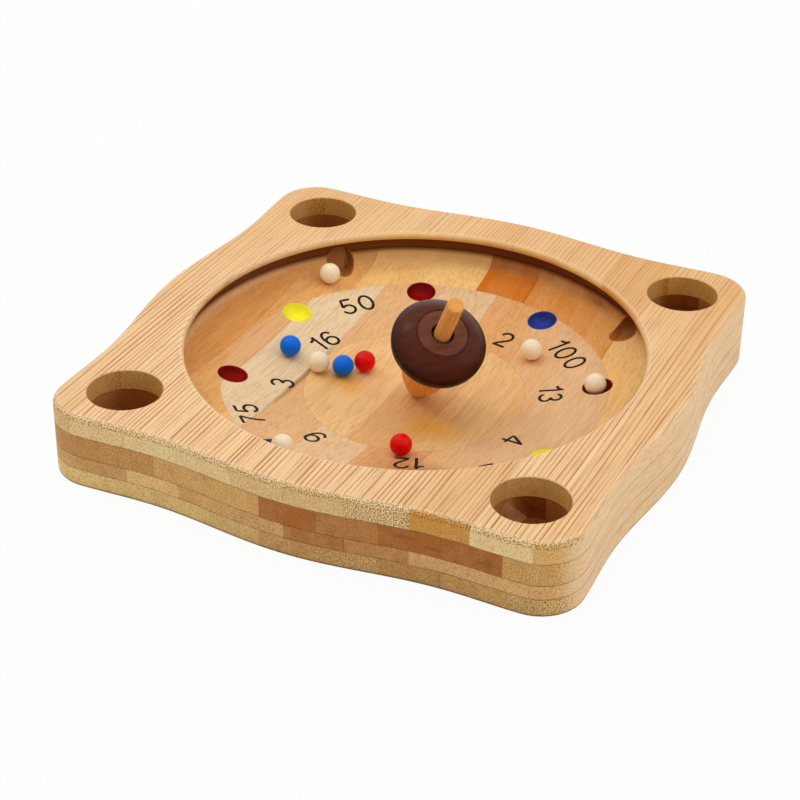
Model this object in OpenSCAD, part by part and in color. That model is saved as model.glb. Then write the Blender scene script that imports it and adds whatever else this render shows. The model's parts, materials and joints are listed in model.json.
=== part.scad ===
// Tabletop roulette game: a board glued from four bamboo plies, with a turned dish,
// four pockets that the balls reach through short tunnels, a top spun by the fingers
// and nine wooden balls. Millimetres; the board stands on z = 0 and is centred on Z.

/* [Board outline] */
// Width across the bulges in the middle of two opposite sides
board_w = 271; // [250:1:300]
// How far the waists of a side lie in from its bulge
waist_in = 7; // [2:0.5:9]
// How far the corners lie in from the bulge
corner_in = 6; // [2:0.5:8]
// Distance of a waist from the middle of its side
waist_at = 75; // [60:1:85]
// Radius of the four corners, seen from above
corner_r = 21; // [12:0.5:26]
// Radius of the round-over along the upper edge
edge_round = 3; // [1:0.25:5]
// Radius of the round-over along the lower edge
base_round = 1.5; // [0.5:0.25:3]

/* [Plies] */
// Thickness of the pale top ply
top_ply_t = 10.5; // [9:0.5:14]
// Thickness of the brown upper core ply
upper_core_t = 11; // [9:0.5:14]
// Thickness of the mixed lower core ply
lower_core_t = 7; // [6:0.5:10]
// Thickness of the base ply, which floors the pockets
base_ply_t = 9.5; // [8.5:0.5:14]

/* [Pockets and tunnels] */
// Distance from a pocket's centre to the bulge line of its sides
pocket_edge = 35.5; // [32:0.5:38]
// Diameter of the four pockets
pocket_d = 35; // [30:0.5:38]
// Width of the small bevel round a pocket's mouth
pocket_bevel = 0.4; // [0.2:0.1:1.5]
// Diameter of the tunnels between dish and pockets
tunnel_d = 14; // [12:0.5:15]
// How steeply a tunnel falls towards its pocket, in degrees
tunnel_fall = 16; // [8:1:20]
// How far below the undercut's middle a tunnel starts, in degrees round the undercut
tunnel_at = 40; // [30:1:45]

/* [Dish] */
// Wood left between the dish's undercut and a pocket
tunnel_wall = 8.4; // [5:0.2:14]
// How far the lip hangs over the undercut
lip_over = 5.5; // [4:0.5:9]
// Thickness of the lip at its inner edge
lip_t = 3.5; // [3:0.25:7]
// Radius of the round-over on the lip
lip_round = 2.5; // [1:0.25:3]
// Radius of the undercut that turns the balls back
undercut_r = 11; // [9:0.5:13]
// Depth of the undercut's middle below the board's face
undercut_depth = 7.5; // [6:0.25:9]
// Wood left under the middle of the dish
dish_floor = 6.1; // [4:0.1:8]

/* [Dimples] */
// Distance from the lip to the ring of dimples
dimple_in = 22; // [18:0.5:28]
// Diameter of a dimple's mouth
dimple_d = 15; // [13:0.5:16]
// Radius of the cutter that sinks the dimples
dimple_cutter_r = 9; // [8.5:0.25:12]

/* [Spinning top] */
// Diameter of the disc at its rim
disc_d = 45; // [36:1:54]
// Height of the rim's lower edge above the tip
rim_h = 50.4; // [42:0.2:54]
// Height of the straight band round the rim
rim_band = 1; // [0.5:0.25:4]
// Rise of the disc's dome from the rim band to the upper face
dome_h = 8.8; // [5:0.2:10]
// How far the dome swells out from a plain cone
dome_bulge = 1; // [0:0.1:1.5]
// Diameter of the disc's flat upper face, at the groove
face_d = 24.2; // [20:0.2:30]
// Radius of the groove turned round the upper face
groove_r = 0.6; // [0.4:0.1:1.2]
// Diameter of the recess round the stem
recess_d = 11; // [9.5:0.5:14]
// Depth of the recess round the stem
recess_depth = 5; // [2:0.5:8]
// Diameter of the stem
stem_d = 8; // [6:0.5:9]
// Height of the stem's end above the tip
stem_top = 88; // [74:1:100]
// Round-over on the stem's end
stem_round = 1; // [0.5:0.25:2]
// Drop of the disc's underside from the rim to the foot
under_h = 10; // [6:0.5:14]
// Diameter of the foot
foot_d = 21.5; // [18:0.5:26]
// Width of the ledge that the disc leaves round the foot
foot_ledge = 1; // [0.5:0.25:3]
// Height of the foot's tapered nose
nose_h = 17; // [14:1:24]
// Radius of the rounded tip
tip_r = 6.5; // [3:0.25:8]
// Depth of the stem's socket in the foot
socket_depth = 13; // [8:1:15]
// Lean of the spinning top, in degrees from upright
lean = 33.5; // [0:0.5:36]
// Compass direction of the lean, in degrees from +X towards +Y
lean_az = -45.5; // [-180:0.5:180]
// Distance of the tip from the middle of the dish
tip_off = 2.4; // [0:0.1:10]
// Compass direction of the tip from the middle of the dish
tip_az = 36; // [-180:1:180]

/* [Balls] */
// Diameter of the balls
ball_d = 10.5; // [8:0.25:11]

/* [Fits] */
// Gap between a loose piece and the wood that it rests on
seat_gap = 0.15; // [0.05:0.05:0.3]
// Radial glue gap round the stem
glue_gap = 0.05; // [0.02:0.01:0.1]

/* [Hidden] */
$fn = 96;

// How far a cutter runs past the face that it opens
past = 1;
// Points along a corner, along a side and on the edge round-overs
corner_steps = 10;
side_steps = 36;
round_steps = 4;
// Chords on the dish's lip, undercut and floor, and on the disc's curves
lip_steps = 6;
undercut_steps = 14;
floor_steps = 16;
disc_steps = 12;

board_t = base_ply_t + lower_core_t + upper_core_t + top_ply_t;
lower_core_z = base_ply_t;
upper_core_z = lower_core_z + lower_core_t;
top_ply_z = upper_core_z + upper_core_t;

bulge = board_w / 2;
waist = bulge - waist_in;
flare = bulge - corner_in;
corner_c = flare - corner_r;

pocket_c = bulge - pocket_edge;
pocket_r = pocket_d / 2;
pocket_ring = pocket_c * sqrt(2);

// The undercut's section is a circle that the dish's spherical floor runs into
undercut_out = pocket_ring - pocket_r - tunnel_wall;
lip_r = undercut_out - lip_over;
undercut_c = undercut_out - undercut_r;
undercut_z = board_t - undercut_depth;
floor_z = dish_floor;
floor_drop = undercut_z - undercut_r - floor_z;
floor_r = undercut_r + (pow(undercut_c, 2) + pow(floor_drop, 2)) / (2 * floor_drop);
floor_c = floor_z + floor_r;
join_angle = asin(undercut_c / (floor_r - undercut_r));
shelf_z = board_t - lip_t;
shelf_angle = asin((shelf_z - undercut_z) / undercut_r);

tunnel_mouth_r = undercut_c + undercut_r * cos(tunnel_at);
tunnel_mouth_z = undercut_z - undercut_r * sin(tunnel_at);
tunnel_in = undercut_r;
tunnel_out = pocket_ring - pocket_r - tunnel_mouth_r + tunnel_d / 4;

dimple_ring = lip_r - dimple_in;
dimple_tilt = asin(dimple_ring / floor_r);
dimple_rise = sqrt(pow(dimple_cutter_r, 2) - pow(dimple_d / 2, 2));
dimple_c = [(floor_r - dimple_rise) * sin(dimple_tilt), floor_c - (floor_r - dimple_rise) * cos(dimple_tilt)];

disc_r = disc_d / 2;
face_r = face_d / 2;
face_h = rim_h + rim_band + dome_h;
foot_r = foot_d / 2;
foot_h = rim_h - under_h;
stem_r = stem_d / 2;
stem_z = foot_h - socket_depth + seat_gap;
ball_r = ball_d / 2;
tip = [tip_off * cos(tip_az), tip_off * sin(tip_az),
       floor_c - sqrt(pow(floor_r - tip_r - seat_gap, 2) - pow(tip_off, 2))];

// Outline of the board: a wave along each side and a round corner, counter-clockwise
function side_at(s) = abs(s) < waist_at
    ? waist + waist_in * (1 + cos(180 * s / waist_at)) / 2
    : waist + (flare - waist) * (1 - cos(180 * (abs(s) - waist_at) / (corner_c - waist_at))) / 2;
function turned(p, a) = [p.x * cos(a) - p.y * sin(a), p.x * sin(a) + p.y * cos(a)];
quarter = concat(
    [for (i = [0 : corner_steps])
        [corner_c + corner_r * cos(90 * i / corner_steps), corner_c + corner_r * sin(90 * i / corner_steps)]],
    [for (i = [1 : side_steps - 1])
        let (s = corner_c * (1 - 2 * i / side_steps)) [s, side_at(s)]]);
outline = [for (k = [0 : 3]) for (p = quarter) turned(p, 90 * k)];
outline_n = len(outline);

// Outward direction of the outline at point i, and the outline drawn in along it
function outward(i) =
    let (d = outline[(i + 1) % outline_n] - outline[(i + outline_n - 1) % outline_n])
    [d.y, -d.x] / norm(d);
function ring(inset, z) = [for (i = [0 : outline_n - 1]) let (p = outline[i] - inset * outward(i)) [p.x, p.y, z]];

// Solid skin over rings that follow each other upwards, closed by fans from the middle
module skin(rings) {
    n = outline_n;
    last = len(rings) - 1;
    middle = n * len(rings);
    polyhedron(
        points = concat([for (r = rings) each r], [[0, 0, rings[0][0].z], [0, 0, rings[last][0].z]]),
        faces = concat(
            [for (i = [0 : n - 1]) [middle, i, (i + 1) % n]],
            [for (i = [0 : n - 1]) [middle + 1, last * n + (i + 1) % n, last * n + i]],
            [for (k = [0 : last - 1]) for (i = [0 : n - 1])
                let (j = (i + 1) % n) each [[k * n + i, (k + 1) * n + i, (k + 1) * n + j],
                                            [k * n + i, (k + 1) * n + j, k * n + j]]]));
}

module plain_ply(z, t) {
    translate([0, 0, z])
        linear_extrude(t)
            polygon(outline);
}

// Section of the dish, from its middle out to the undercut and back over the lip
module dish_cut() {
    floor_arc = [for (i = [0 : floor_steps])
        let (a = join_angle * i / floor_steps) [floor_r * sin(a), floor_c - floor_r * cos(a)]];
    under_arc = [for (i = [1 : undercut_steps])
        let (a = join_angle - 90 + (shelf_angle - join_angle + 90) * i / undercut_steps)
        [undercut_c + undercut_r * cos(a), undercut_z + undercut_r * sin(a)]];
    lip_arc = [for (i = [0 : lip_steps])
        let (a = 180 - 90 * i / lip_steps)
        [lip_r + lip_round + lip_round * cos(a), board_t - lip_round + lip_round * sin(a)]];
    rotate_extrude()
        polygon(concat(floor_arc, under_arc, [[lip_r, shelf_z]], lip_arc,
                       [[lip_r + lip_round, board_t + past], [0, board_t + past]]));
}

module at_pockets() {
    for (k = [0 : 3])
        rotate([0, 0, 45 + 90 * k])
            children();
}

module pocket_cuts() {
    at_pockets()
        translate([pocket_ring, 0, base_ply_t])
            cylinder(r = pocket_r, h = board_t - base_ply_t + past);
    at_pockets()
        translate([pocket_ring, 0, board_t - pocket_bevel])
            cylinder(r1 = pocket_r, r2 = pocket_r + pocket_bevel + past, h = pocket_bevel + past);
}

module tunnel_cuts() {
    at_pockets()
        translate([tunnel_mouth_r, 0, tunnel_mouth_z])
            rotate([0, 90 + tunnel_fall, 0])
                translate([0, 0, -tunnel_in])
                    cylinder(d = tunnel_d, h = tunnel_in + tunnel_out);
}

module dimple_cuts() {
    for (k = [0 : 7])
        rotate([0, 0, 22.5 + 45 * k])
            translate([dimple_c.x, 0, dimple_c.y])
                sphere(r = dimple_cutter_r);
}

module top_ply() {
    rounds = [for (i = [0 : round_steps])
        let (a = 90 * i / round_steps)
        ring(edge_round * (1 - cos(a)), board_t - edge_round + edge_round * sin(a))];
    color("burlywood")
        difference() {
            skin(concat([ring(0, top_ply_z)], rounds));
            dish_cut();
            pocket_cuts();
            tunnel_cuts();
        }
}

module upper_core_ply() {
    color("peru")
        difference() {
            plain_ply(upper_core_z, upper_core_t);
            dish_cut();
            pocket_cuts();
            tunnel_cuts();
            dimple_cuts();
        }
}

module lower_core_ply() {
    color("sienna")
        difference() {
            plain_ply(lower_core_z, lower_core_t);
            dish_cut();
            pocket_cuts();
            tunnel_cuts();
            dimple_cuts();
        }
}

module base_ply() {
    rounds = [for (i = [0 : round_steps])
        let (a = 90 - 90 * i / round_steps)
        ring(base_round * (1 - cos(a)), base_round - base_round * sin(a))];
    color("tan")
        difference() {
            skin(concat(rounds, [ring(0, base_ply_t)]));
            dish_cut();
        }
}

// Stands the top on its tip in the dish, leaning as it spins
module on_tip() {
    translate(tip)
        rotate([0, 0, lean_az])
            rotate([0, lean, 0])
                translate([0, 0, -tip_r])
                    children();
}

module top_disc() {
    under = [for (i = [0 : disc_steps])
        let (a = 90 - 90 * i / disc_steps)
        [foot_r + foot_ledge + (disc_r - foot_r - foot_ledge) * cos(a), rim_h - under_h * sin(a)]];
    rim = [disc_r, rim_h + rim_band];
    rise = [face_r, face_h] - rim;
    dome = [for (i = [0 : disc_steps])
        let (t = i / disc_steps)
        rim + t * rise + dome_bulge * 4 * t * (1 - t) * [rise.y, -rise.x] / norm(rise)];
    color("saddlebrown")
        on_tip()
            difference() {
                rotate_extrude()
                    polygon(concat([[0, foot_h]], under, dome, [[0, face_h]]));
                translate([0, 0, foot_h - past])
                    cylinder(r = stem_r + glue_gap, h = face_h - foot_h + 2 * past);
                translate([0, 0, face_h - recess_depth])
                    cylinder(d = recess_d, h = recess_depth + past);
                translate([0, 0, face_h])
                    rotate_extrude()
                        translate([face_r, 0])
                            circle(r = groove_r);
            }
}

module top_stem() {
    color("wheat")
        on_tip()
            rotate_extrude()
                polygon(concat([[0, stem_z], [stem_r, stem_z]],
                    [for (i = [0 : lip_steps])
                        let (a = 90 * i / lip_steps)
                        [stem_r - stem_round + stem_round * cos(a), stem_top - stem_round + stem_round * sin(a)]],
                    [[0, stem_top]]));
}

module top_foot() {
    tip_turn = atan2(foot_r - tip_r, nose_h - tip_r);
    nose = [for (i = [0 : disc_steps])
        let (a = -90 + (90 - tip_turn) * i / disc_steps) [tip_r * cos(a), tip_r + tip_r * sin(a)]];
    color("wheat")
        on_tip()
            difference() {
                rotate_extrude()
                    polygon(concat(nose, [[foot_r, nose_h], [foot_r, foot_h], [0, foot_h]]));
                translate([0, 0, foot_h - socket_depth])
                    cylinder(r = stem_r + glue_gap, h = socket_depth + past);
            }
}

// A ball at rest on the dish's floor, r from the middle and turned by a
module ball_on_floor(r, a) {
    rotate([0, 0, a])
        translate([r, 0, floor_c - sqrt(pow(floor_r - ball_r - seat_gap, 2) - pow(r, 2))])
            sphere(d = ball_d);
}

module ball_in_dimple(k) {
    rotate([0, 0, 22.5 + 45 * k])
        translate([dimple_c.x, 0, dimple_c.y - dimple_cutter_r + ball_r + seat_gap])
            sphere(d = ball_d);
}

module ball_blue_1() { color("royalblue") ball_on_floor(67.5, 180); }
module ball_blue_2() { color("royalblue") ball_on_floor(38.5, 180); }
module ball_red_1() { color("red") ball_on_floor(32.5, 163.5); }
module ball_red_2() { color("red") ball_on_floor(57.5, 288.5); }
module ball_natural_1() { color("wheat") ball_on_floor(50, 184.5); }
module ball_natural_2() { color("wheat") ball_on_floor(lip_r - 19, 253.5); }
module ball_natural_3() { color("wheat") ball_on_floor(lip_r - 9, 140.5); }
module ball_natural_4() { color("wheat") ball_on_floor(64.5, 51); }
module ball_natural_5() { color("wheat") ball_in_dimple(0); }

top_ply();
upper_core_ply();
lower_core_ply();
base_ply();
top_disc();
top_stem();
top_foot();
ball_blue_1();
ball_blue_2();
ball_red_1();
ball_red_2();
ball_natural_1();
ball_natural_2();
ball_natural_3();
ball_natural_4();
ball_natural_5();
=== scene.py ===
"""Looks of a tabletop roulette game: bamboo board with a turned dish, spinning top and balls.

Metres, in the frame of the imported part: +Z up, the board stands on z = 0 round the Z axis.
"""

import json
import math

import bpy
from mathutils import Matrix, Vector

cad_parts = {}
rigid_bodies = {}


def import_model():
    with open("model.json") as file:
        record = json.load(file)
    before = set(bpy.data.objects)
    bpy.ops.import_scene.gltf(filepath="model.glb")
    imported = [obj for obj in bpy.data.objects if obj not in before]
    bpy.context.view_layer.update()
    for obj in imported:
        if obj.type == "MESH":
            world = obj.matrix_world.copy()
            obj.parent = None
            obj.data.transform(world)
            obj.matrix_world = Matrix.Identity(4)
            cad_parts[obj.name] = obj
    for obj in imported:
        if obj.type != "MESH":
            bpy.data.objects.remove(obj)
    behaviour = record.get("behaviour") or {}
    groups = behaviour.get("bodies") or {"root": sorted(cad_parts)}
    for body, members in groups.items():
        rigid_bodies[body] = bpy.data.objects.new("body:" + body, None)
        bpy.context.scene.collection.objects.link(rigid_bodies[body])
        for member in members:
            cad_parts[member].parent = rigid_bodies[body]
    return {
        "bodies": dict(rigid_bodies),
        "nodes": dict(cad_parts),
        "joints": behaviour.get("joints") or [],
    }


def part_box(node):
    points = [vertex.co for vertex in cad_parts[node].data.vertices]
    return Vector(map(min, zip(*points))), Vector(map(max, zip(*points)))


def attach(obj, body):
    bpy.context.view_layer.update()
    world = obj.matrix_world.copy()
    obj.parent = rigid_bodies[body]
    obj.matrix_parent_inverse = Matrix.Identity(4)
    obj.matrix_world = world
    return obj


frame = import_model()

bl_info = {
    "name": "Tabletop roulette game",
    "version": (1, 0, 0),
    "blender": (4, 5, 0),
    "location": "View3D > Sidebar > Roulette",
    "description": "Finishes, printed numbers and studio of a bamboo roulette game",
    "category": "Object",
}

# The startup scene's own objects would count as pieces
NODES = frame["nodes"]
for stray in set(bpy.data.objects) - set(NODES.values()) - set(frame["bodies"].values()):
    bpy.data.objects.remove(stray)
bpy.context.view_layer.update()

MM = 0.001

# The dish's floor is part of a ball this far up, and the dimples are cut in it on a ring
FLOOR_RADIUS = 0.42534
FLOOR_CENTRE = 0.43144
DIMPLE_RING = 0.08802
LIP_RADIUS = 0.11002
UNDERCUT_RADIUS = 0.1155
BOARD_HEIGHT = 0.038

# Place of a pocket's centre along X and Y, and its radius
POCKET_PLACE = 0.1
POCKET_RADIUS = 0.0175

# The tunnels to the pockets start at this distance and height, fall outwards and end in the pockets
TUNNEL_START = 0.11295
TUNNEL_END = 0.13
TUNNEL_HEIGHT = 0.02343
TUNNEL_FALL = math.radians(16)
TUNNEL_RADIUS = 0.007

# The spinning top leans about this point, along this axis
TOP_SPIN = next(joint for joint in frame["joints"] if joint["name"] == "top_spin")
TOP_TIP = Vector(TOP_SPIN["pos_m"])
TOP_AXIS = Vector(TOP_SPIN["axis"]).normalized()


def tint(red, green, blue):
    """A colour as a picture shows it, 0 to 255, turned into the linear values that shaders use."""
    linear = [v / 255 / 12.92 if v <= 10 else ((v / 255 + 0.055) / 1.055) ** 2.4 for v in (red, green, blue)]
    return (*linear, 1.0)


def colour_property(name, description, default):
    return bpy.props.FloatVectorProperty(
        name=name, description=description, default=default, subtype="COLOR", size=4, min=0.0, max=1.0)


def length_property(name, description, default):
    return bpy.props.FloatProperty(
        name=name, description=description, default=default, unit="LENGTH", precision=5)


def share_property(name, description, default):
    return bpy.props.FloatProperty(name=name, description=description, default=default, subtype="FACTOR")


def power_property(name, description, default):
    return bpy.props.FloatProperty(name=name, description=description, default=default, unit="POWER")


def group_property(group, name, description):
    return bpy.props.PointerProperty(type=group, name=name, description=description)


class RouletteBamboo(bpy.types.PropertyGroup):
    """Finish of the four bamboo plies."""

    strip_width: length_property("Strip width", "Width of the strips that a ply is glued from", 0.028)
    strip_turn: bpy.props.FloatProperty(
        name="Strip turn", description="Angle between the strips and the board's sides",
        default=math.radians(1.03), subtype="ANGLE")
    line_gap: length_property("Line gap", "Distance between the fine lines of the top face", 0.0023)
    gloss: share_property("Gloss", "How strongly the oiled wood reflects", 0.1)
    top_pale: colour_property("Top, pale", "Palest strip of the top ply", tint(252, 212, 160))
    top_deep: colour_property("Top, deep", "Deepest strip of the top ply", tint(220, 158, 88))
    top_end_pale: colour_property("Top ends, pale", "Palest end grain of the top ply", tint(255, 224, 162))
    top_end_deep: colour_property("Top ends, deep", "Deepest end grain of the top ply", tint(226, 162, 78))
    upper_pale: colour_property("Upper core, pale", "Palest strip of the upper core", tint(255, 210, 134))
    upper_deep: colour_property("Upper core, deep", "Deepest strip of the upper core", tint(216, 116, 22))
    upper_end_pale: colour_property(
        "Upper core ends, pale", "Palest end grain of the upper core", tint(248, 204, 128))
    upper_end_deep: colour_property(
        "Upper core ends, deep", "Deepest end grain of the upper core", tint(184, 112, 52))
    lower_pale: colour_property("Lower core, pale", "Palest strip of the lower core", tint(242, 212, 168))
    lower_deep: colour_property("Lower core, deep", "Deepest strip of the lower core", tint(232, 158, 82))
    lower_end_pale: colour_property(
        "Lower core ends, pale", "Palest end grain of the lower core", tint(254, 210, 138))
    lower_end_deep: colour_property(
        "Lower core ends, deep", "Deepest end grain of the lower core", tint(180, 112, 56))
    base_pale: colour_property("Base, pale", "Palest strip of the base ply", tint(252, 204, 140))
    base_deep: colour_property("Base, deep", "Deepest strip of the base ply", tint(214, 146, 74))
    base_end_pale: colour_property("Base ends, pale", "Palest end grain of the base ply", tint(255, 222, 148))
    base_end_deep: colour_property("Base ends, deep", "Deepest end grain of the base ply", tint(186, 122, 60))
    # The side colour is a painted pale sheen on the long sides along the strips
    side: colour_property("Sides", "Planed sides along the strips", tint(242, 212, 168))
    line: colour_property("Lines", "Fine lines of the top face", tint(172, 98, 46))
    fibre: colour_property("Fibre", "Dark fibre bundles", tint(118, 66, 26))
    glue: colour_property("Glue", "Glue lines and dark figure", tint(96, 58, 30))
    # The edge colour is a painted highlight on the top ply's round-overs
    edge: colour_property("Edges", "Polished edges of the top ply", tint(255, 230, 198))
    # Amber patches: the one under the spinning top is painted warm bounce light in its shadow
    amber: colour_property("Amber", "Warm stains in the dish", tint(244, 162, 36))
    wall_shade: colour_property(
        "Wall shade", "Shade of the pockets' and the lip's walls", tint(232, 208, 164))
    deep_shade: colour_property(
        "Deep shade", "Shade of the pockets' floors and the tunnels", tint(206, 176, 142))
    under_shade: colour_property("Under shade", "Shade of the undercut", tint(122, 82, 46))


class RoulettePrint(bpy.types.PropertyGroup):
    """Numbers printed in the dish."""

    height: length_property("Height", "Height of the digits", 0.0117)
    stroke: length_property("Stroke", "Width of a digit's line", 0.00145)
    lift: length_property("Lift", "How far the ink stands on the wood", 0.00005)
    ink: colour_property("Ink", "Colour of the numbers", tint(16, 12, 10))
    worn: colour_property("Worn ink", "Colour where the ink is thin", tint(70, 46, 30))


class RouletteDimples(bpy.types.PropertyGroup):
    """Paint in the dimples."""

    mouth: length_property("Mouth", "Radius of a dimple's mouth", 0.0075)
    cutter: length_property("Cutter", "Radius of the ball cutter", 0.009)
    coat: length_property("Coat", "Thickness of the paint", 0.00006)
    red: colour_property("Red", "Red paint", tint(144, 8, 5))
    blue: colour_property("Blue", "Blue paint", tint(50, 68, 156))
    yellow: colour_property("Yellow", "Yellow paint", tint(255, 242, 50))


class RouletteTop(bpy.types.PropertyGroup):
    """Finish of the spinning top."""

    stain: colour_property("Stain", "Stained wood of the disc", tint(90, 38, 20))
    # The dark stain also serves as painted shade on the disc's low side
    stain_dark_and_shade: colour_property("Stain, dark", "Pores and low side of the disc", tint(32, 10, 4))
    # The face colour is a painted sheen on the face inside the groove
    painted_face_sheen: colour_property("Stain, face", "Rubbed face inside the groove", tint(148, 92, 70))
    wood: colour_property("Wood", "Plain wood of the stem and foot", tint(240, 172, 92))
    wood_dark: colour_property("Wood, dark", "Grain of the stem and foot", tint(196, 120, 54))


class RouletteBalls(bpy.types.PropertyGroup):
    """Finish of the balls."""

    blue: colour_property("Blue", "Blue paint", tint(1, 112, 234))
    red: colour_property("Red", "Red paint", tint(232, 3, 2))
    wood: colour_property("Wood", "Plain wood", tint(255, 238, 202))
    wood_dark: colour_property("Wood, dark", "Grain of the plain wood", tint(242, 206, 156))


class RouletteStudio(bpy.types.PropertyGroup):
    """Camera, floor and lamps."""

    place: bpy.props.FloatVectorProperty(
        name="Camera", description="Place of the camera",
        default=(0.3500, -0.7798, 0.5371), subtype="TRANSLATION")
    turn: bpy.props.FloatVectorProperty(
        name="Camera turn", description="Direction of the camera",
        default=(math.radians(58.038), math.radians(-0.722), math.radians(25.084)), subtype="EULER")
    lens: bpy.props.FloatProperty(name="Lens", description="Focal length in millimetres", default=93.39)
    floor: colour_property("Floor", "Colour of the floor", (0.9, 0.9, 0.9, 1.0))
    glow: share_property("Floor glow", "How far the floor shows as plain white", 0.94)
    sky: share_property("Sky", "Strength of the light round the horizon", 0.53)
    zenith: share_property("Zenith", "Light added towards straight above", 0.06)
    key: power_property("Key", "Power of the lamp above", 5.5)
    fill: power_property("Fill", "Power of the lamp at the right", 3.5)
    gleam: power_property("Gleam", "Power of the small lamp at the left", 1.6)


class RouletteSettings(bpy.types.PropertyGroup):
    """All sizes and colours of the game."""

    bamboo: group_property(RouletteBamboo, "Bamboo", "Finish of the plies")
    printing: group_property(RoulettePrint, "Print", "Numbers in the dish")
    dimples: group_property(RouletteDimples, "Dimples", "Paint in the dimples")
    top: group_property(RouletteTop, "Top", "Finish of the spinning top")
    balls: group_property(RouletteBalls, "Balls", "Finish of the balls")
    studio: group_property(RouletteStudio, "Studio", "Camera, floor and lamps")


def feed(tree, socket, value):
    """Links a value to a socket, or sets the socket to it."""
    if isinstance(value, Tone):
        tree.links.new(value.socket, socket)
    elif isinstance(value, bpy.types.NodeSocket):
        tree.links.new(value, socket)
    else:
        socket.default_value = value


class Tone:
    """A number that changes over a surface; arithmetic on it adds Math nodes."""

    def __init__(self, tree, socket):
        self.tree = tree
        self.socket = socket

    def math(self, operation, *values, clamp=False):
        node = self.tree.nodes.new("ShaderNodeMath")
        node.operation = operation
        node.use_clamp = clamp
        for socket, value in zip(node.inputs, values):
            feed(self.tree, socket, value)
        return Tone(self.tree, node.outputs[0])

    def __add__(self, other):
        return self.math("ADD", self, other)

    __radd__ = __add__

    def __sub__(self, other):
        return self.math("SUBTRACT", self, other)

    def __rsub__(self, other):
        return self.math("SUBTRACT", other, self)

    def __mul__(self, other):
        return self.math("MULTIPLY", self, other)

    __rmul__ = __mul__

    def __truediv__(self, other):
        return self.math("DIVIDE", self, other)

    def __pow__(self, other):
        return self.math("POWER", self, other)

    def __abs__(self):
        return self.math("ABSOLUTE", self)

    def clamped(self):
        return self.math("ADD", self, 0.0, clamp=True)

    def fraction(self):
        return self.math("FRACT", self)

    def least(self, other):
        return self.math("MINIMUM", self, other)

    def most(self, other):
        return self.math("MAXIMUM", self, other)

    def sine(self):
        return self.math("SINE", self)

    def rise(self, low, high):
        """0 below low and 1 above high, with a soft step between."""
        node = self.tree.nodes.new("ShaderNodeMapRange")
        node.interpolation_type = "SMOOTHSTEP"
        feed(self.tree, node.inputs["Value"], self)
        feed(self.tree, node.inputs["From Min"], low)
        feed(self.tree, node.inputs["From Max"], high)
        return Tone(self.tree, node.outputs["Result"])

    def fall(self, low, high):
        return 1 - self.rise(low, high)


class Shade:
    """A node tree in the making."""

    def __init__(self, tree):
        self.tree = tree
        tree.nodes.clear()

    def node(self, kind, settings, sockets):
        """Any node: its settings are set first, then the values or links of its sockets."""
        made = self.tree.nodes.new(kind)
        for key, value in settings.items():
            if key == "stops":
                ramp = made.color_ramp
                ramp.interpolation = "CONSTANT"
                while len(ramp.elements) < len(value):
                    ramp.elements.new(1.0)
                for stop, (at, level) in zip(ramp.elements, value):
                    stop.position = at
                    stop.color = (level, level, level, 1.0)
            else:
                setattr(made, key, value)
        for key, value in sockets.items():
            feed(self.tree, made.inputs[key], value)
        return made

    def tone(self, kind, settings, sockets, output=0):
        return Tone(self.tree, self.node(kind, settings, sockets).outputs[output])

    def split(self, vector):
        parts = self.node("ShaderNodeSeparateXYZ", {}, {0: vector})
        return [Tone(self.tree, parts.outputs[i]) for i in range(3)]

    def join(self, x, y, z):
        return self.node("ShaderNodeCombineXYZ", {}, {0: x, 1: y, 2: z}).outputs[0]

    def noise(self, x, y, z, detail=2.0, roughness=0.5):
        return self.tone("ShaderNodeTexNoise", {}, {
            "Vector": self.join(x, y, z), "Scale": 1.0, "Detail": detail, "Roughness": roughness})

    def cells(self, x, y):
        """Distance to the nearest of many loosely spread points."""
        return self.tone("ShaderNodeTexVoronoi", {"voronoi_dimensions": "2D"}, {
            "Vector": self.join(x, y, 0.0), "Scale": 1.0, "Randomness": 0.8}, "Distance")

    def steps(self, tone, levels):
        """A constant level in each of the equal parts of 0 to 1."""
        stops = [(i / len(levels), level) for i, level in enumerate(levels)]
        return self.tone("ShaderNodeValToRGB", {"stops": stops}, {0: tone})

    def mix(self, share, first, second, how="MIX"):
        made = self.node("ShaderNodeMix", {"data_type": "RGBA", "blend_type": how},
                         {0: share, 6: first, 7: second})
        return made.outputs[2]

    def seen(self):
        """1 where the camera, a reflection or glass looks, 0 for the light itself."""
        path = self.node("ShaderNodeLightPath", {}, {})
        rays = [Tone(self.tree, path.outputs[name])
                for name in ("Is Camera Ray", "Is Glossy Ray", "Is Transmission Ray")]
        return rays[0].most(rays[1]).most(rays[2])


class Finish(Shade):
    """A material in the making, with its shader and its piece's coordinates."""

    def __init__(self, name, **constants):
        self.material = bpy.data.materials.new(name)
        self.material.use_nodes = True
        super().__init__(self.material.node_tree)
        self.shader = self.node("ShaderNodeBsdfPrincipled", {}, constants)
        self.output = self.node("ShaderNodeOutputMaterial", {}, {"Surface": self.shader.outputs[0]})

    def place(self):
        """The piece's coordinates in millimetres, as a vector socket."""
        coordinates = self.node("ShaderNodeTexCoord", {}, {})
        scaled = self.node("ShaderNodeVectorMath", {"operation": "SCALE"},
                           {0: coordinates.outputs["Object"], "Scale": 1 / MM})
        return scaled.outputs[0]

    def facing(self):
        """How far the surface faces each axis, 0 to 1."""
        normal = self.node("ShaderNodeNewGeometry", {}, {}).outputs["Normal"]
        return [abs(part) for part in self.split(normal)]

    def bump(self, height, strength, distance):
        return self.node("ShaderNodeBump", {}, {
            "Strength": strength, "Distance": distance, "Height": height}).outputs[0]

    def set(self, **sockets):
        for key, value in sockets.items():
            feed(self.tree, self.shader.inputs[key.replace("_", " ")], value)


def dress(names, finish):
    """Gives CAD nodes a finish."""
    for name in names:
        materials = NODES[name].data.materials
        materials.clear()
        materials.append(finish.material)


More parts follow.
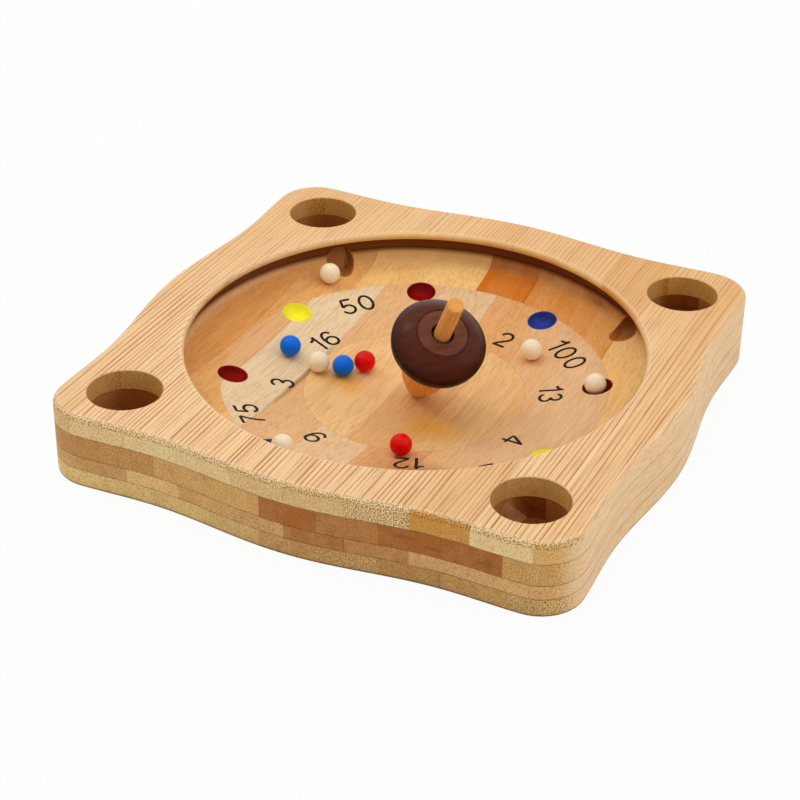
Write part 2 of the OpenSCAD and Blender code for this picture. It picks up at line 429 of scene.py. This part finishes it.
def smooth(names, split=math.radians(30)):
    """Smooths the facets of turned and bent faces and keeps the edges between faces."""
    for name in names:
        piece = NODES[name]
        for kind in ("custom_normal", "sharp_edge"):
            if kind in piece.data.attributes:
                piece.data.attributes.remove(piece.data.attributes[kind])
        piece.data.shade_smooth()
        weld = piece.modifiers.new("join faces", "WELD")
        weld.merge_threshold = 1e-6
        edges = piece.modifiers.new("keep edges", "EDGE_SPLIT")
        edges.split_angle = split
        edges.use_edge_sharp = False
        piece.modifiers.new("even shading", "WEIGHTED_NORMAL").mode = "FACE_AREA_WITH_ANGLE"


def floor_height(radius):
    """Height of the dish's floor at a distance from its middle."""
    return FLOOR_CENTRE - math.sqrt(FLOOR_RADIUS ** 2 - radius ** 2)


def new_piece(name, points, faces, finish, body):
    mesh = bpy.data.meshes.new(name)
    mesh.from_pydata(points, [], faces)
    mesh.validate()
    mesh.shade_smooth()
    mesh.materials.append(finish.material)
    piece = bpy.data.objects.new(name, mesh)
    bpy.context.scene.collection.objects.link(piece)
    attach(piece, body)
    return piece


class Ply:
    """What sets one ply's bamboo apart from the others'."""

    def __init__(self, node, joint, faces, ends, dots, blots=(), stains=()):
        self.node = node
        self.joint = joint
        self.faces = faces
        self.ends = ends
        self.dots = dots
        self.blots = blots
        self.stains = stains


# Strips are counted along X from the first joint, in millimetres. Faces and ends give each strip's tone,
# from 0 for the ply's pale colour to 1 for its deep one, and dots how plain its end grain is. Blots are dark
# figure in the ends: place across and up, half sizes. Stains are patches in the dish: place, half sizes and
# colour; the amber patch under the spinning top is painted warm bounce light in its shadow
PLIES = {
    "top": Ply("top_ply", -140,
               [0.12, 0.06, 0.02, 0.04, 0.1, 0.06, 0.16, 0.35, 0.1, 0.25],
               [0.3, 0.15, 0.05, 0.1, 0.25, 0.35, 0.1, 0.95, 0.1, 0.6],
               [0.5, 0.25, 0.2, 0.2, 0.4, 0.3, 1.0, 0.3, 0.1, 0.2]),
    "upper": Ply("upper_core_ply", -153,
                 [0.45, 0.6, 0.45, 0.22, 0.1, 0.95, 0.72, 0.66, 0.2, 0.15, 0.3],
                 [0.55, 0.6, 0.55, 0.3, 0.3, 0.95, 0.8, 1.0, 0.95, 0.4, 0.3],
                 [0.35, 0.35, 0.4, 0.4, 0.3, 0.2, 0.4, 0.3, 0.4, 0.4, 0.3],
                 blots=[(54, 23.5, 9, 2.4), (68, 20.5, 8, 1.6), (93, 21, 7, 3.5)]),
    "lower": Ply("lower_core_ply", -140,
                 [0.5, 0.6, 0.0, 0.55, 0.3, 0.75, 0.55, 0.45, 0.5, 0.4],
                 [0.4, 0.5, 0.1, 0.4, 0.4, 0.85, 0.7, 0.35, 0.3, 0.3],
                 [0.3, 0.3, 0.2, 0.25, 0.4, 0.2, 0.2, 0.25, 0.25, 0.3],
                 stains=[(-56, -14, 2.2, 46, "fibre"), (30, -68, 30, 14, "line")]),
    "base": Ply("base_ply", -153,
                [0.2, 0.2, 0.2, 0.2, 0.15, 0.5, 0.25, 0.45, 0.5, 0.4, 0.3],
                [0.2, 0.15, 0.2, 0.25, 0.35, 0.65, 0.5, 0.7, 0.6, 0.4, 0.4],
                [0.3, 0.25, 0.3, 0.25, 0.3, 0.3, 0.7, 0.4, 0.4, 0.75, 0.4],
                # The first amber patch lies under the spinning top and is painted warm bounce light in its
                # shadow; the second is a warm patch
                stains=[(20, -24, 20, 18, "amber"), (-36, -6, 12, 10, "amber")]),
}


class Bamboo(Finish):
    """Edge-glued bamboo: strips along Y, fine lines along them and dotted ends across them."""

    # In millimetres, as the coordinates are
    LIP = LIP_RADIUS / MM
    UNDERCUT = UNDERCUT_RADIUS / MM
    TUNNEL = TUNNEL_RADIUS / MM
    POCKET = POCKET_PLACE / MM
    TOP_FACE = BOARD_HEIGHT / MM
    FRONT = 130

    def __init__(self, key, look):
        super().__init__("bamboo_" + key + "_ply", **{"Specular IOR Level": look.gloss})
        self.key = key
        self.look = look
        self.ply = PLIES[key]
        self.seed = 31.7 * ord(key[0])
        self.x, self.y, self.z = self.split(self.place())
        self.across = self.x - math.tan(look.strip_turn) * (self.y + self.FRONT)
        self.radius = (self.x * self.x + self.y * self.y) ** 0.5
        from_x = abs(self.x) - self.POCKET
        from_y = abs(self.y) - self.POCKET
        self.from_pocket = (from_x * from_x + from_y * from_y) ** 0.5 - POCKET_RADIUS / MM
        self.face_x, self.face_y, self.face_z = self.facing()
        self.end = self.face_y.rise(0.3, 0.75)
        self.count = (self.across - self.ply.joint) / (look.strip_width / MM)
        self.slats = self.noise(self.across * 0.19 + self.seed, self.y * 0.0045, self.z * 0.16)
        self.lines = self.top_lines() if key == "top" else self.dish_lines()
        self.pores = self.end_pores()
        colour = self.strips()
        colour = self.mix(self.lines, colour, look.line)
        colour = self.mix(self.pores, colour, look.fibre)
        for layer in (self.dashes, self.blots, self.joints, self.seams, self.edges, self.painted_hollow_shade):
            colour = layer(colour)
        self.set(Base_Color=colour, Roughness=0.44 + 0.12 * self.lines + 0.1 * self.end,
                 Normal=self.bump(1 - self.lines * 0.6 - self.pores, 0.25, 0.00015))

    def strip_value(self, levels):
        return self.steps(self.count / len(levels), levels)

    def strips(self):
        """Colour of the strips on the faces and on their ends, and a painted pale sheen on the long sides
        along the strips.
        """
        # On the top ply the strips are painted deeper towards the back, a painted shade of the far side
        change = (self.slats - 0.5) * 0.4 + self.y.rise(-60, 140) * (0.35 if self.key == "top" else 0.0)
        faces, ends = (self.mix((self.strip_value(tones) + change).clamped(),
                                getattr(self.look, self.key + part + "_pale"),
                                getattr(self.look, self.key + part + "_deep"))
                       for part, tones in (("", self.ply.faces), ("_end", self.ply.ends)))
        # Painted sheen: the long ±X sides turn paler towards the side colour
        return self.mix(self.face_x.rise(0.6, 0.95) * 0.6, self.mix(self.end, faces, ends), self.look.side)

    def top_lines(self):
        """Straight fine lines along the strips of the top face, weaker here and stronger there."""
        wander = self.noise(self.across * 0.05 + self.seed, self.y * 0.003, self.z * 0.05, 1.0)
        even = (self.across * (math.tau * MM / self.look.line_gap) + wander * 26).sine()
        strength = self.noise(self.across * 0.5 - self.seed, self.y * 0.012, self.z * 0.5, 2.0)
        fine = self.noise(self.across * 2.4 + self.seed, self.y * 0.02, self.z * 2.4, 1.0)
        ruled = even.rise(0.35, 1.0) * strength.rise(0.28, 0.6) * self.face_z.rise(0.5, 0.9)
        front = 1 - 0.5 * self.y.rise(-70, 110)
        return (ruled * 0.75 + fine.rise(0.46, 0.66) * 0.3).clamped() * (1 - self.end) * front

    def dish_lines(self):
        """Low, soft grain of the turned dish."""
        soft = self.noise(self.across * 0.9 + self.seed, self.y * 0.03, self.z * 0.9)
        fine = self.noise(self.across * 1.5 - self.seed, self.y * 0.07, self.z * 1.5, 1.0)
        return (soft.rise(0.42, 0.72) * 0.18 + fine.rise(0.47, 0.7) * 0.2) * (1 - self.end)

    def end_pores(self):
        """Dots of the fibre bundles in the ends, plainest at the upper edge and rubbed away in the dish."""
        dots = self.cells(self.across * 1.15 + self.seed, self.z * 1.15).fall(0.18, 0.4)
        specks = self.noise(self.across * 1.4, self.seed, self.z * 1.4, 1.0).rise(0.42, 0.7)
        strength = self.strip_value(self.ply.dots) * self.end
        if self.key == "top":
            edge = self.z.rise(self.TOP_FACE - 3.8, self.TOP_FACE - 2.6)
            edge = edge * self.face_y.rise(0.15, 0.4) * self.face_z.fall(0.9, 0.98)
            edge = edge * self.radius.rise(self.UNDERCUT + 2.5, self.UNDERCUT + 4.5)
            edge = edge * self.from_pocket.rise(0.5, 2)
            strength = strength.most(edge * 0.85)
        turned = 1 - 0.8 * self.radius.fall(self.UNDERCUT + 0.5, self.UNDERCUT + 2.5)
        return (dots * strength + specks * self.end * 0.3).clamped() * turned

    def dashes(self, colour):
        """Sparse dark dashes along the grain."""
        marks = self.noise(self.across * 1.5 + 7.7 * self.seed, self.y * 0.04, self.z * 1.5, 1.0)
        strength = 0.4 if self.key == "top" else 0.14
        return self.mix(marks.rise(0.64, 0.76) * (1 - self.end) * strength, colour, self.look.fibre)

    def blots(self, colour):
        """Dark figure in the ends of some strips, and coloured patches in the dish; the amber patch under the
        top is painted warm bounce light in its shadow.
        """
        rough = self.noise(self.across * 0.3, self.y * 0.06, self.z * 1.4)
        for across, up, half_across, half_up in self.ply.blots:
            far = abs(self.across - across) / half_across + abs(self.z - up) / half_up
            colour = self.mix((far + rough * 0.8).fall(0.5, 1.5) * self.end * 0.4, colour, self.look.glue)
        for across, along, half_across, half_along, name in self.ply.stains:
            off_x = (self.across - across) / half_across
            off_y = (self.y - along) / half_along
            far = (off_x * off_x + off_y * off_y) ** 0.5 + rough * 0.6
            colour = self.mix(far.fall(0.2, 1.5) * self.z.rise(3, 5) * (1 - self.end) * 0.7, colour,
                              getattr(self.look, name))
        return colour

    def joints(self, colour):
        """Faint glue lines between the strips."""
        part = self.count.fraction()
        gap = part.least(1 - part) * (self.look.strip_width / MM)
        return self.mix(gap.fall(0.05, 0.35) * self.slats.rise(0.35, 0.7) * 0.35, colour, self.look.glue)

    def seams(self, colour):
        """Glue lines between the plies, thin on the turned floor where they run out."""
        low, high = (corner.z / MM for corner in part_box(self.ply.node))
        gap = high - self.z if self.key == "base" else self.z - low
        if self.key in ("upper", "lower"):
            gap = gap.least(high - self.z)
        broken = self.noise(self.x * 0.12, self.y * 0.12, self.seed, 2.0).rise(0.3, 0.65)
        steep = self.face_z.fall(0.7, 0.9)
        line = gap.fall(0.06, 0.36) * steep + gap.fall(0.015, 0.06) * (1 - steep) * 0.2
        return self.mix(line * (0.25 + 0.5 * broken), colour, self.look.glue)

    def edges(self, colour):
        """Painted highlight on the top ply's upper round-overs, and painted contact shadow along the base's
        lower edge.
        """
        if self.key == "top":
            # Painted highlight: a pale band on the round-overs of the top face's edges and the lip
            rim = self.face_z.rise(0.6, 0.9) * self.face_z.fall(0.985, 0.999)
            rim = rim * self.z.rise(self.TOP_FACE - 1.5, self.TOP_FACE - 0.8)
            return self.mix(rim * 0.25, colour, self.look.edge)
        if self.key == "base":
            # Painted contact shadow: the glue colour darkens the base's lower edge
            foot = self.z.fall(0.7, 2.2) * self.face_z.fall(0.9, 0.99)
            return self.mix(foot * 0.85, colour, self.look.glue)
        return colour

    def painted_hollow_shade(self, colour):
        """Painted shade: deeper colour inside the pockets, the tunnels, the lip's wall and the undercut,
        where shade falls.
        """
        pocket = self.from_pocket.fall(0.1, 0.7)
        if self.key == "top":
            pocket = pocket * self.z.fall(self.TOP_FACE - 0.8, self.TOP_FACE - 0.3)
            wall = self.radius.fall(self.LIP + 2, self.LIP + 3)
            wall = wall * self.z.fall(self.TOP_FACE - 3.6, self.TOP_FACE - 1)
            under = self.radius.fall(self.UNDERCUT + 1.5, self.UNDERCUT + 2.5)
            under = under * self.radius.rise(self.LIP - 1, self.LIP)
            under = under * self.z.fall(self.TOP_FACE - 4.2, self.TOP_FACE - 3.2)
            colour = self.mix(pocket.most(wall), colour, self.look.wall_shade, "MULTIPLY")
            return self.mix(under, colour, self.look.under_shade, "MULTIPLY")
        inside = self.radius.fall(TUNNEL_END / MM, TUNNEL_END / MM + 1)
        tunnel = self.from_tunnel().fall(self.TUNNEL + 0.3, self.TUNNEL + 0.6) * inside
        deep = (pocket * self.z.rise(0.5, 1)).most(tunnel)
        under = inside * self.radius.rise(self.LIP - 4, self.LIP) * self.z.rise(24.4, 27.4)
        colour = self.mix(deep, colour, self.look.deep_shade, "MULTIPLY")
        return self.mix(under * (1 - deep), colour, self.look.under_shade, "MULTIPLY")

    def from_tunnel(self):
        """Distance from the middle line of the nearest tunnel, all four folded into one corner."""
        outward = (abs(self.x) + abs(self.y)) * math.sqrt(0.5)
        sideways = (abs(self.x) - abs(self.y)) * math.sqrt(0.5)
        upward = self.z - TUNNEL_HEIGHT / MM + (outward - TUNNEL_START / MM) * math.tan(TUNNEL_FALL)
        return (sideways * sideways + upward * upward) ** 0.5


class ROULETTE_OT_plies(bpy.types.Operator):
    """Give the four glued plies of the board their bamboo"""

    bl_idname = "roulette.plies"
    bl_label = "Finish the plies"

    def execute(self, context):
        for key, ply in PLIES.items():
            dress([ply.node], Bamboo(key, context.scene.roulette.bamboo))
            smooth([ply.node])
        return {"FINISHED"}


# Distance from the dish's middle, compass direction and tilt of each printed number
NUMBERS = [
    ("13", 0.0658, 20.8, -2), ("2", 0.0652, 70.8, 6), ("5", 0.0645, 112.5, 0), ("16", 0.0629, 160.3, 0),
    ("3", 0.0640, 202.3, 0), ("9", 0.0645, 249.0, 0), ("12", 0.0665, 292.5, 0), ("4", 0.0650, 340.3, 4),
    ("100", 0.0807, 45.4, 2), ("50", 0.0813, 136.0, 4), ("75", 0.0836, 226.4, 0), ("25", 0.0820, 316.0, 0),
]


def arc(cx, cy, rx, ry, start, end, steps=18):
    angles = [math.radians(start + (end - start) * i / steps) for i in range(steps + 1)]
    return [(cx + rx * math.cos(a), cy + ry * math.sin(a)) for a in angles]


def glyph(digit):
    """A digit one unit tall: its width and the middle lines of its strokes."""
    if digit == "0":
        return 0.68, [arc(0.34, 0.5, 0.286, 0.446, 90, 450, 36)]
    if digit == "1":
        flag = [(0.0, 0.75), (0.12, 0.765), (0.21, 0.82), (0.27, 0.9), (0.3, 1.0)]
        return 0.36, [flag, [(0.305, 1.0), (0.305, 0.0)]]
    if digit == "2":
        bow = arc(0.32, 0.69, 0.262, 0.257, 172, -38)
        return 0.64, [bow + [(0.36, 0.36), (0.17, 0.2), (0.075, 0.054)], [(0.03, 0.054), (0.61, 0.054)]]
    if digit == "3":
        return 0.64, [arc(0.31, 0.725, 0.225, 0.222, 165, -90), arc(0.31, 0.2785, 0.262, 0.2245, 90, -165)]
    if digit == "4":
        post = [(0.46, 0.0), (0.46, 1.0)]
        return 0.64, [post, [(0.47, 0.96), (0.04, 0.28)], [(0.02, 0.252), (0.63, 0.252)]]
    if digit == "5":
        flag = [(0.58, 0.946), (0.155, 0.946), (0.095, 0.475)]
        return 0.66, [flag, arc(0.325, 0.325, 0.278, 0.272, 145, -165)]
    if digit == "6":
        return 0.68, [arc(0.345, 0.32, 0.27, 0.267, 0, 360, 30), arc(0.36, 0.5, 0.29, 0.446, 38, 215, 24)]
    if digit == "7":
        leg = [(0.57, 0.93), (0.42, 0.7), (0.31, 0.46), (0.235, 0.22), (0.205, 0.0)]
        return 0.62, [[(0.02, 0.946), (0.585, 0.946)], leg]
    if digit == "9":
        width, strokes = glyph("6")
        return width, [[(width - u, 1 - v) for u, v in stroke] for stroke in strokes]
    raise ValueError("no strokes for digit " + digit)


def ribbon(stroke, half):
    """Left and right edge of a stroke, point by point."""
    closed = math.dist(stroke[0], stroke[-1]) < 1e-6
    edges = []
    for i, (u, v) in enumerate(stroke):
        before = stroke[i - 1] if i else (stroke[-2] if closed else stroke[0])
        after = stroke[i + 1] if i + 1 < len(stroke) else (stroke[1] if closed else stroke[-1])
        du, dv = after[0] - before[0], after[1] - before[1]
        size = math.hypot(du, dv)
        left, up = -dv / size * half, du / size * half
        edges.append(((u + left, v + up), (u - left, v - up)))
    return edges


def refine(stroke, step=0.12):
    """Adds points on long straight strokes, so that they follow the dish."""
    fine = [stroke[0]]
    for a, b in zip(stroke, stroke[1:]):
        parts = max(1, math.ceil(math.dist(a, b) / step))
        du, dv = b[0] - a[0], b[1] - a[1]
        fine += [(a[0] + du * i / parts, a[1] + dv * i / parts) for i in range(1, parts + 1)]
    return fine


class ROULETTE_OT_numbers(bpy.types.Operator):
    """Print the plain numbers in the dish"""

    bl_idname = "roulette.numbers"
    bl_label = "Print the numbers"

    def execute(self, context):
        look = context.scene.roulette.printing
        ink = Finish("printed_ink", **{"Specular IOR Level": 0.14})
        x, y, z = ink.split(ink.place())
        thin = ink.noise(x * 0.9, y * 0.08, z * 0.9).rise(0.62, 0.8)
        ink.set(Base_Color=ink.mix(thin * 0.5, look.ink, look.worn), Roughness=0.55 + 0.2 * thin)
        for text, radius, compass, tilt in NUMBERS:
            self.write(text, radius, math.radians(compass), math.radians(tilt), look, ink)
        return {"FINISHED"}

    def write(self, text, radius, compass, tilt, look, ink):
        gap = 0.2
        glyphs = [glyph(digit) for digit in text]
        start = -(sum(width for width, _ in glyphs) + gap * (len(glyphs) - 1)) / 2
        up = Vector((math.cos(compass + tilt), math.sin(compass + tilt)))
        along = Vector((up.y, -up.x))
        middle = Vector((math.cos(compass), math.sin(compass))) * radius
        points, faces = [], []
        for width, strokes in glyphs:
            for stroke in strokes:
                first = len(points)
                for pair in ribbon(refine(stroke), look.stroke / look.height / 2):
                    for u, v in pair:
                        spot = middle + (along * (start + u) + up * (v - 0.5)) * look.height
                        points.append((spot.x, spot.y, floor_height(spot.length) + look.lift))
                faces += [(i, i + 1, i + 3, i + 2) for i in range(first, len(points) - 2, 2)]
            start += width + gap
        piece = new_piece("number_" + text, points, faces, ink, "board")
        thick = piece.modifiers.new("ink film", "SOLIDIFY")
        thick.thickness = 2 * look.lift
        thick.offset = -1.0


# Paint of the dimples, counted from the first one round the dish
DIMPLES = ["red", "blue", "red", "yellow", "red", "blue", "red", "yellow"]


class ROULETTE_OT_dimples(bpy.types.Operator):
    """Paint the dimples round the dish"""

    bl_idname = "roulette.dimples"
    bl_label = "Paint the dimples"

    def execute(self, context):
        look = context.scene.roulette.dimples
        finishes = {name: self.paint(name, getattr(look, name)) for name in ("red", "blue", "yellow")}
        for i, name in enumerate(DIMPLES):
            self.film("dimple_paint_" + str(i + 1), math.radians(22.5 + 45 * i), look, finishes[name])
        return {"FINISHED"}

    def paint(self, name, colour):
        finish = Finish("dimple_paint_" + name, **{"Specular IOR Level": 0.04})
        x, y, z = finish.split(finish.place())
        brush = finish.noise(x * 0.5, y * 0.35, z * 0.5, 3.0)
        # Painted shade: the paint turns towards the darker colour where the dimple's wall is steep; the brush
        # noise is uneven paint
        level = finish.facing()[2]
        thick = tuple(0.35 * c for c in colour[:3]) + (1.0,)
        strength = 0.15 if name == "yellow" else 0.6
        share = (brush.rise(0.4, 0.75) * 0.6 + level.fall(0.6, 0.98)) * strength
        finish.set(Base_Color=finish.mix(share.clamped(), colour, thick),
                   Roughness=0.42 + 0.2 * brush, Normal=finish.bump(brush, 0.2, 0.0003))
        return finish

    def film(self, name, compass, look, finish, rings=10, turns=48):
        """A film of paint on a dimple's wall, closed at the rim."""
        tilt = math.asin(DIMPLE_RING / FLOOR_RADIUS)
        out = Vector((math.cos(compass), math.sin(compass), 0))
        down = out * math.sin(tilt) + Vector((0, 0, -math.cos(tilt)))
        side = Vector((-out.y, out.x, 0))
        front = down.cross(side)
        rise = math.sqrt(look.cutter ** 2 - look.mouth ** 2)
        centre = Vector((0, 0, FLOOR_CENTRE)) + down * (FLOOR_RADIUS - rise)
        widest = math.asin(look.mouth / look.cutter) - 0.006
        points, faces = [], []
        for depth in (look.cutter - look.coat, look.cutter + look.coat):
            points.append(centre + down * depth)
            for ring in range(1, rings + 1):
                polar = widest * ring / rings
                for turn in range(turns):
                    a = math.tau * turn / turns
                    sideways = side * math.cos(a) + front * math.sin(a)
                    points.append(centre + (down * math.cos(polar) + sideways * math.sin(polar)) * depth)
        layer = 1 + rings * turns
        for base, order in ((0, 1), (layer, -1)):
            for turn in range(turns):
                after = (turn + 1) % turns
                faces.append((base, base + 1 + turn, base + 1 + after)[::order])
                for ring in range(rings - 1):
                    a = base + 1 + ring * turns
                    faces.append((a + turn, a + turns + turn, a + turns + after, a + after)[::order])
        rim = 1 + (rings - 1) * turns
        for turn in range(turns):
            after = (turn + 1) % turns
            faces.append((rim + turn, layer + rim + turn, layer + rim + after, rim + after))
        new_piece(name, [tuple(p) for p in points], faces, finish, "board")


def along_top(finish):
    """Millimetres round the top's axis: distance from it, height over the tip and two sideways ways."""
    shifted = finish.node("ShaderNodeVectorMath", {"operation": "SUBTRACT"},
                          {0: finish.place(), 1: TOP_TIP / MM}).outputs[0]
    side = TOP_AXIS.orthogonal().normalized()
    height, u, v = (
        finish.tone("ShaderNodeVectorMath", {"operation": "DOT_PRODUCT"}, {0: shifted, 1: way}, "Value")
        for way in (TOP_AXIS, side, TOP_AXIS.cross(side)))
    return (u * u + v * v) ** 0.5, height, u, v


class ROULETTE_OT_top(bpy.types.Operator):
    """Give the spinning top its stained disc and plain stem and foot"""

    bl_idname = "roulette.top"
    bl_label = "Finish the spinning top"

    def execute(self, context):
        look = context.scene.roulette.top
        dress(["top_disc"], self.stained(look))
        dress(["top_stem", "top_foot"], self.plain(look))
        smooth(["top_disc", "top_stem", "top_foot"])
        return {"FINISHED"}

    def stained(self, look):
        """Dark stain with fine turning marks and pores, a painted sheen that makes the face inside the groove
        paler, and painted shade on the disc's low side.
        """
        disc = Finish("stained_disc", **{"Specular IOR Level": 0.09})
        radius, height, u, v = along_top(disc)
        figure = disc.noise(u * 0.05, v * 0.32, height * 0.32, 3.0)
        pores = disc.noise(u * 0.35, v * 2.2, height * 2.2)
        turning = disc.noise(radius * 1.6, height * 1.6, radius * 0.3)
        # Painted sheen: the face inside the groove is painted paler, in place of the lamp's reflection
        face = radius.fall(11.3, 12) * height.rise(51, 53)
        colour = disc.mix(face * 0.4, look.stain, look.painted_face_sheen)
        # Painted shade: the disc turns to the dark stain towards its low side, besides its pores and figure
        share = figure.rise(0.3, 0.75) * 0.35 + pores.rise(0.55, 0.75) * 0.25 + height.fall(43, 51) * 0.75
        disc.set(Base_Color=disc.mix(share, colour, look.stain_dark_and_shade),
                 Roughness=0.24 + 0.14 * turning, Normal=disc.bump(turning, 0.12, 0.0004))
        return disc

    def plain(self, look):
        """Plain turned wood with streaks along the axis."""
        wood = Finish("plain_turned_wood", **{"Specular IOR Level": 0.14})
        _, height, u, v = along_top(wood)
        rings = (wood.noise(u * 0.5, v * 0.5, height * 0.02) * 42).sine() * 0.5 + 0.5
        streaks = wood.noise(u * 1.7, v * 1.7, height * 0.06)
        share = rings * 0.3 + streaks.rise(0.45, 0.75) * 0.5
        wood.set(Base_Color=wood.mix(share, look.wood, look.wood_dark), Roughness=0.5 + 0.15 * streaks,
                 Normal=wood.bump(streaks, 0.2, 0.0002))
        return wood


class ROULETTE_OT_balls(bpy.types.Operator):
    """Give the nine balls their satin paint or plain wood"""

    bl_idname = "roulette.balls"
    bl_label = "Finish the balls"

    def execute(self, context):
        look = context.scene.roulette.balls
        finishes = {"natural": self.plain(look)}
        for name in ("blue", "red"):
            finishes[name] = self.paint(name, getattr(look, name))
        for name, finish in finishes.items():
            dress([node for node in NODES if node.startswith("ball_" + name)], finish)
        return {"FINISHED"}

    def plain(self, look):
        wood = Finish("plain_ball", **{"Specular IOR Level": 0.2})
        x, y, z = wood.split(wood.place())
        rings = (wood.noise(x * 0.05, y * 0.22, z * 0.26, 1.0) * 40).sine() * 0.5 + 0.5
        streaks = wood.noise(x * 0.2, y * 1.6, z * 1.6)
        share = rings * 0.25 + streaks.rise(0.5, 0.8) * 0.3
        wood.set(Base_Color=wood.mix(share, look.wood, look.wood_dark), Roughness=0.45 + 0.15 * streaks,
                 Normal=wood.bump(streaks, 0.15, 0.0002))
        return wood

    def paint(self, name, colour):
        finish = Finish("ball_paint_" + name, **{"Specular IOR Level": 0.14})
        x, y, z = finish.split(finish.place())
        orange_peel = finish.noise(x * 1.1, y * 1.1, z * 1.1)
        dark = tuple(0.75 * c for c in colour[:3]) + (1.0,)
        finish.set(Base_Color=finish.mix(orange_peel.rise(0.4, 0.8) * 0.5, colour, dark),
                   Roughness=0.28 + 0.1 * orange_peel, Normal=finish.bump(orange_peel, 0.12, 0.0003))
        return finish


class ROULETTE_OT_stage(bpy.types.Operator):
    """Set up the camera, the pale floor and the soft lamps"""

    bl_idname = "roulette.stage"
    bl_label = "Build the stage"

    def execute(self, context):
        look = context.scene.roulette.studio
        scene = context.scene
        scene.view_settings.view_transform = "Standard"
        camera = bpy.data.objects.new("camera", bpy.data.cameras.new("camera"))
        camera.location = look.place
        camera.rotation_euler = look.turn
        camera.data.lens = look.lens
        camera.data.sensor_width = 36
        camera.data.clip_start, camera.data.clip_end = 0.01, 50
        scene.collection.objects.link(camera)
        scene.camera = camera
        self.floor(look)
        self.sky(look)
        self.lamp("key lamp", (-0.1, -0.02, 1.25), 1.6, look.key)
        self.lamp("fill lamp", (1.25, 0.15, 0.75), 1.0, look.fill)
        self.lamp("gleam lamp", (-0.79, -0.02, 0.9), 0.2, look.gleam)
        return {"FINISHED"}

    def floor(self, look):
        size = 6.0
        level = -0.0002
        corners = [(-size, -size, level), (size, -size, level), (size, size, level), (-size, size, level)]
        mesh = bpy.data.meshes.new("floor")
        mesh.from_pydata(corners, [], [(0, 1, 2, 3)])
        finish = Finish("pale_floor", **{
            "Roughness": 0.9, "Specular IOR Level": 0.1, "Base Color": look.floor})
        white = finish.node("ShaderNodeEmission", {}, {"Color": (1, 1, 1, 1), "Strength": 1.0})
        both = finish.node("ShaderNodeMixShader", {}, {
            0: finish.seen() * look.glow, 1: finish.shader.outputs[0], 2: white.outputs[0]})
        feed(finish.tree, finish.output.inputs["Surface"], both.outputs[0])
        mesh.materials.append(finish.material)
        floor = bpy.data.objects.new("floor", mesh)
        bpy.context.scene.collection.objects.link(floor)

    def sky(self, look):
        """Even light that grows upwards, and a white background."""
        world = bpy.data.worlds.new("studio")
        bpy.context.scene.world = world
        world.use_nodes = True
        shade = Shade(world.node_tree)
        way = shade.node("ShaderNodeTexCoord", {}, {}).outputs["Generated"]
        z = shade.split(way)[2]
        light = look.sky + look.zenith * z.most(0.0)
        seen = shade.seen()
        background = shade.node("ShaderNodeBackground", {}, {
            "Color": (1, 1, 1, 1), "Strength": light * (1 - seen) + seen})
        shade.node("ShaderNodeOutputWorld", {}, {"Surface": background.outputs[0]})

    def lamp(self, name, place, size, power):
        data = bpy.data.lights.new(name, "AREA")
        data.shape = "DISK"
        data.size = size
        data.energy = power
        lamp = bpy.data.objects.new(name, data)
        lamp.location = place
        lamp.rotation_euler = (Vector((0, 0, 0.02)) - Vector(place)).to_track_quat("-Z", "Y").to_euler()
        bpy.context.scene.collection.objects.link(lamp)


OPERATORS = [ROULETTE_OT_plies, ROULETTE_OT_numbers, ROULETTE_OT_dimples, ROULETTE_OT_top,
             ROULETTE_OT_balls, ROULETTE_OT_stage]


class ROULETTE_PT_panel(bpy.types.Panel):
    """Lists the game's operators and settings"""

    bl_idname = "ROULETTE_PT_panel"
    bl_label = "Roulette game"
    bl_space_type = "VIEW_3D"
    bl_region_type = "UI"
    bl_category = "Roulette"

    def draw(self, context):
        for operator in OPERATORS:
            self.layout.operator(operator.bl_idname)
        settings = context.scene.roulette
        for group in ("bamboo", "printing", "dimples", "top", "balls", "studio"):
            box = self.layout.box()
            part = getattr(settings, group)
            for key in type(part).__annotations__:
                box.prop(part, key)


CLASSES = [RouletteBamboo, RoulettePrint, RouletteDimples, RouletteTop, RouletteBalls, RouletteStudio,
           RouletteSettings, *OPERATORS, ROULETTE_PT_panel]


def register():
    for cls in CLASSES:
        bpy.utils.register_class(cls)
    bpy.types.Scene.roulette = bpy.props.PointerProperty(type=RouletteSettings)


def unregister():
    del bpy.types.Scene.roulette
    for cls in reversed(CLASSES):
        bpy.utils.unregister_class(cls)


def main():
    register()
    for operator in OPERATORS:
        group, name = operator.bl_idname.split(".")
        getattr(getattr(bpy.ops, group), name)()


if __name__ == "__main__":
    main()
